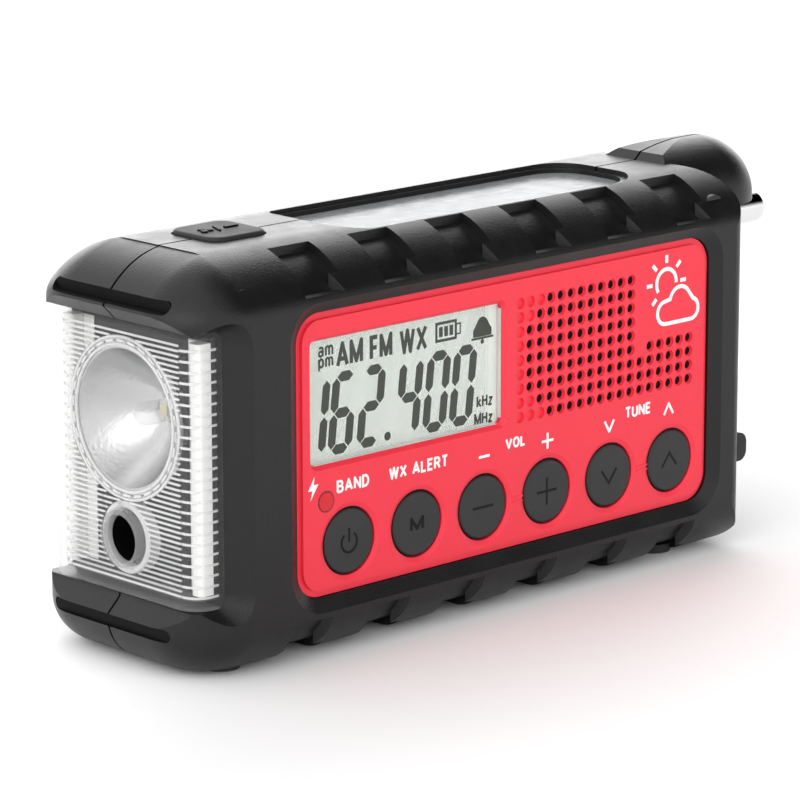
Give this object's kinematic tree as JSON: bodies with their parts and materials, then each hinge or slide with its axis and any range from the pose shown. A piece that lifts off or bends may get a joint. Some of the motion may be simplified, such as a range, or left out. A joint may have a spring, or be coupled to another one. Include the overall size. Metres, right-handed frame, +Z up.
{
  "type": "emergency radio",
  "caption": "Hand-held emergency radio with display, keys, speaker, torch end, solar cells, folding crank and pull-out antenna.",
  "frame": {"origin": "on the base plane below the middle of the overall length, on the plane where the two shells meet", "axes": "+X along the front from the torch end to the antenna end, +Y from the front panel to the crank side, +Z up"},
  "size_m": [0.2004, 0.057, 0.0911],
  "materials": {
    "aluminium": "drawn can",
    "board_green": "green solder mask",
    "brass": "spring brass",
    "casing_black": "fine textured black ABS",
    "cell_wrap": "plain sleeve",
    "chrome": "bright chrome",
    "clear": "clear polycarbonate",
    "cone_paper": "pressed paper cone",
    "copper": "enamelled wire",
    "ferrite": "sintered ferrite",
    "lcd": "reflective display",
    "led_red": "red diffused lamp",
    "led_white": "white power LED",
    "nylon": "natural nylon gears",
    "panel_red": "satin red moulded panel",
    "reflector": "vacuum metallised",
    "rubber_dark": "silicone rubber",
    "solar_blue": "crystalline cells",
    "solar_cover": "light grey glossy cover",
    "steel": "plain steel",
    "white_plastic": "white moulded plastic"
  },
  "bodies": {
    "casing": {"front_housing": "casing_black", "rear_housing": "casing_black", "front_panel": "panel_red", "lcd_window": "clear", "lcd_module": "lcd", "charge_led": "led_red", "keypad_mat": "rubber_dark", "main_board": "board_green", "speaker_basket": "steel", "speaker_magnet": "steel", "torch_lens": "clear", "torch_frame": "casing_black", "torch_reflector": "reflector", "torch_led": "led_white", "side_diffuser_front": "white_plastic", "side_diffuser_rear": "white_plastic", "sounder_tube": "clear", "piezo_sounder": "brass", "torch_switch": "steel", "solar_cells": "solar_blue", "solar_cover": "solar_cover", "idler_spindle": "steel", "gearbox_plate": "steel", "dynamo": "aluminium", "antenna_tube_1": "chrome", "antenna_clamp": "white_plastic", "battery_tray": "casing_black", "battery_contacts": "steel", "aa_cells": "cell_wrap", "lithium_pack": "cell_wrap", "port_board": "board_green", "usb_output_socket": "steel", "usb_input_socket": "steel", "headphone_jack": "casing_black", "housing_screws": "steel", "rubber_feet": "rubber_dark", "ferrite_rod": "ferrite", "ferrite_coil": "copper"},
    "power_key": {"power_key": "rubber_dark"},
    "memory_key": {"memory_key": "rubber_dark"},
    "volume_down_key": {"volume_down_key": "rubber_dark"},
    "volume_up_key": {"volume_up_key": "rubber_dark"},
    "tune_down_key": {"tune_down_key": "rubber_dark"},
    "tune_up_key": {"tune_up_key": "rubber_dark"},
    "torch_button": {"torch_button": "rubber_dark"},
    "speaker_cone": {"speaker_cone": "cone_paper"},
    "crank": {"crank_arm": "casing_black", "crank_shaft": "steel", "drive_gear": "nylon", "crank_knob_pin": "steel"},
    "knob_post": {"crank_knob_post": "steel"},
    "knob": {"crank_knob": "casing_black"},
    "idler": {"idler_gear": "nylon"},
    "dynamo_rotor": {"dynamo_pinion": "brass"},
    "antenna_2": {"antenna_tube_2": "chrome"},
    "antenna_3": {"antenna_tube_3": "chrome"},
    "antenna_4": {"antenna_tube_4": "chrome"},
    "antenna_5": {"antenna_rod": "chrome"},
    "battery_door": {"battery_door": "casing_black"},
    "port_cover": {"port_cover": "rubber_dark"}
  },
  "joints": [
    {"name": "power_key_press", "type": "slide", "parent": "casing", "child": "power_key", "axis": [0, 1, 0], "range_m": [0, 0.0008], "stiffness_N_per_m": 900},
    {"name": "memory_key_press", "type": "slide", "parent": "casing", "child": "memory_key", "axis": [0, 1, 0], "range_m": [0, 0.0008], "stiffness_N_per_m": 900},
    {"name": "volume_down_key_press", "type": "slide", "parent": "casing", "child": "volume_down_key", "axis": [0, 1, 0], "range_m": [0, 0.0008], "stiffness_N_per_m": 900},
    {"name": "volume_up_key_press", "type": "slide", "parent": "casing", "child": "volume_up_key", "axis": [0, 1, 0], "range_m": [0, 0.0008], "stiffness_N_per_m": 900},
    {"name": "tune_down_key_press", "type": "slide", "parent": "casing", "child": "tune_down_key", "axis": [0, 1, 0], "range_m": [0, 0.0008], "stiffness_N_per_m": 900},
    {"name": "tune_up_key_press", "type": "slide", "parent": "casing", "child": "tune_up_key", "axis": [0, 1, 0], "range_m": [0, 0.0008], "stiffness_N_per_m": 900},
    {"name": "torch_button_press", "type": "slide", "parent": "casing", "child": "torch_button", "axis": [0, 0, -1], "range_m": [0, 0.0009], "stiffness_N_per_m": 900},
    {"name": "cone_travel", "type": "slide", "parent": "casing", "child": "speaker_cone", "axis": [0, 1, 0], "range_m": [-0.0003, 0.0003], "stiffness_N_per_m": 1500},
    {"name": "crank_turn", "type": "hinge", "parent": "casing", "child": "crank", "pos_m": [0.0182, 0.02, 0.0455], "axis": [0, 1, 0], "continuous": true},
    {"name": "knob_fold", "type": "hinge", "parent": "crank", "child": "knob_post", "pos_m": [-0.0083, 0.0242, 0.0455], "axis": [0, 0, 1], "range_deg": [0, 90]},
    {"name": "knob_spin", "type": "hinge", "parent": "knob_post", "child": "knob", "pos_m": [0.0017, 0.0242, 0.0455], "axis": [1, 0, 0], "continuous": true},
    {"name": "idler_spin", "type": "hinge", "parent": "casing", "child": "idler", "pos_m": [0.03266, 0.012, 0.02826], "axis": [0, 1, 0], "continuous": true},
    {"name": "dynamo_spin", "type": "hinge", "parent": "casing", "child": "dynamo_rotor", "pos_m": [0.05102, 0.012, 0.03682], "axis": [0, 1, 0], "continuous": true},
    {"name": "antenna_slide_1", "type": "slide", "parent": "casing", "child": "antenna_2", "axis": [1, 0, 0], "range_m": [0, 0.078]},
    {"name": "antenna_slide_2", "type": "slide", "parent": "antenna_2", "child": "antenna_3", "axis": [1, 0, 0], "range_m": [0, 0.078]},
    {"name": "antenna_slide_3", "type": "slide", "parent": "antenna_3", "child": "antenna_4", "axis": [1, 0, 0], "range_m": [0, 0.078]},
    {"name": "antenna_slide_4", "type": "slide", "parent": "antenna_4", "child": "antenna_5", "axis": [1, 0, 0], "range_m": [0, 0.078]},
    {"name": "battery_door_lift", "type": "slide", "parent": "casing", "child": "battery_door", "axis": [0, 1, 0], "range_m": [0, 0.03]},
    {"name": "port_cover_hinge", "type": "hinge", "parent": "casing", "child": "port_cover", "pos_m": [0.0662, -0.0026, 0.033], "axis": [0, 0, 1], "range_deg": [0, 130]}
  ],
  "couplings": [
    {"joint": "idler_spin", "follows": "crank_turn", "ratio": -4},
    {"joint": "dynamo_spin", "follows": "crank_turn", "ratio": 14}
  ]
}
